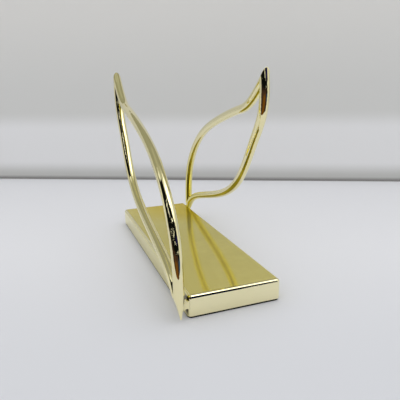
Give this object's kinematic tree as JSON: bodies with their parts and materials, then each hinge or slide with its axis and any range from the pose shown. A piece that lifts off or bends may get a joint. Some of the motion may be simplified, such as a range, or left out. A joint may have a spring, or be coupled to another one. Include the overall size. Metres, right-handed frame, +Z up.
{
  "type": "table number holder",
  "caption": "Free-standing table number holder: a flat weighted bar base with a bent-wire leaf rising from each of two opposite corners; the card stands between the leaves.",
  "frame": {"origin": "on the table, under the middle of the base (centre of the pad's underside)", "axes": "+X across the base, +Y along the base, +Z up; the left leaf stands on the -X side and rises towards +Y"},
  "size_m": [0.0608, 0.152, 0.1099],
  "materials": {
    "cover_plating": "pale gold plating, satin top, polished sides",
    "wire_plating": "pale gold plating, mirror polished",
    "bare_steel": "rolled steel, as cut",
    "foam_tape": "matt",
    "pad_rubber": "matt black"
  },
  "bodies": {
    "root": {"base_cover": "cover_plating", "ballast_plate": "bare_steel", "ballast_tape": "foam_tape", "pad_adhesive": "foam_tape", "anti_slip_pad": "pad_rubber", "left_leaf_upper_wire": "wire_plating", "left_leaf_lower_wire": "wire_plating", "right_leaf_upper_wire": "wire_plating", "right_leaf_lower_wire": "wire_plating", "left_leaf_root_braze": "wire_plating", "left_leaf_tip_braze": "wire_plating", "right_leaf_root_braze": "wire_plating", "right_leaf_tip_braze": "wire_plating", "left_corner_weld": "wire_plating", "right_corner_weld": "wire_plating"}
  },
  "joints": []
}
